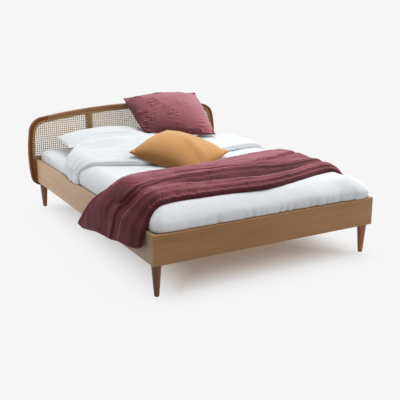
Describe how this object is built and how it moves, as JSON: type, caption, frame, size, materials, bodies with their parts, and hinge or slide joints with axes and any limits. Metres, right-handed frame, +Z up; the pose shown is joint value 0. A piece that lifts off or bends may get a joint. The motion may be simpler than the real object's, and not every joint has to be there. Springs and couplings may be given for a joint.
{
  "type": "caned headboard double bed",
  "caption": "Double bed on turned tapered legs with a rounded caned headboard, made up with duvet, pillow, cushions and a folded throw.",
  "frame": {"origin": "underside of the centre leg's glide, on the floor, midway between the foot board's outer face and the headboard's front face", "axes": "+Z up, +Y along the bed towards the head, +X to the right for someone who looks from the foot to the head"},
  "size_m": [1.5783, 1.9945, 0.7658],
  "materials": {
    "side_oak": "oiled, matt",
    "board_oak": "oiled, matt",
    "walnut_leg": "stained, satin",
    "felt": "pressed felt",
    "pine": "planed, unfinished",
    "webbing": "woven tape",
    "steel": "zinc plated",
    "headboard_wood": "stained, satin",
    "panel_wood": "stained, satin",
    "gilt_moulding": "golden brown, satin",
    "cane": "open woven cane",
    "mattress_ticking": "knitted cover",
    "white_cotton": "washed cotton",
    "burgundy_linen": "crinkled linen",
    "throw_linen": "crinkled linen",
    "mustard_cotton": "plain cotton"
  },
  "bodies": {
    "frame": {"back_bead_centre": "panel_wood", "back_bead_left": "panel_wood", "back_bead_right": "panel_wood", "beam_bracket_foot": "steel", "beam_bracket_head": "steel", "block_screws": "steel", "bracket_screws": "steel", "cane_centre": "cane", "cane_left": "cane", "cane_right": "cane", "centre_beam": "pine", "centre_leg": "walnut_leg", "corner_block_foot_left": "pine", "corner_block_foot_right": "pine", "corner_block_head_left": "pine", "corner_block_head_right": "pine", "foot_board": "board_oak", "glide_centre": "felt", "glide_foot_left": "felt", "glide_foot_right": "felt", "glide_head_left": "felt", "glide_head_right": "felt", "headboard_bolts": "steel", "headboard_bottom_rail": "headboard_wood", "headboard_inserts": "steel", "headboard_lower_panel": "panel_wood", "headboard_side_left": "headboard_wood", "headboard_side_right": "headboard_wood", "headboard_top_rail": "headboard_wood", "ledge_screws": "steel", "leg_foot_left": "walnut_leg", "leg_foot_right": "walnut_leg", "leg_head_left": "walnut_leg", "leg_head_right": "walnut_leg", "leg_inserts": "steel", "leg_studs": "steel", "moulding_centre": "gilt_moulding", "moulding_left": "gilt_moulding", "moulding_right": "gilt_moulding", "side_rail_left": "side_oak", "side_rail_right": "side_oak", "slat_ledge_left": "pine", "slat_ledge_right": "pine", "slat_strap_left": "webbing", "slat_strap_right": "webbing", "slats": "pine", "stile_left": "panel_wood", "stile_right": "panel_wood"},
    "bedding": {"mattress": "mattress_ticking", "fitted_sheet": "white_cotton", "duvet": "white_cotton", "pillow": "white_cotton", "throw": "throw_linen"},
    "large_cushion": {"large_cushion": "burgundy_linen"},
    "small_cushion": {"small_cushion": "mustard_cotton"}
  },
  "joints": [
    {"name": "mattress_lift", "type": "slide", "parent": "frame", "child": "bedding", "axis": [0, 0, 1], "range_m": [0, 0.3]},
    {"name": "large_cushion_lift", "type": "slide", "parent": "bedding", "child": "large_cushion", "axis": [0, 0, 1], "range_m": [0, 0.3]},
    {"name": "small_cushion_lift", "type": "slide", "parent": "bedding", "child": "small_cushion", "axis": [0, 0, 1], "range_m": [0, 0.3]}
  ]
}
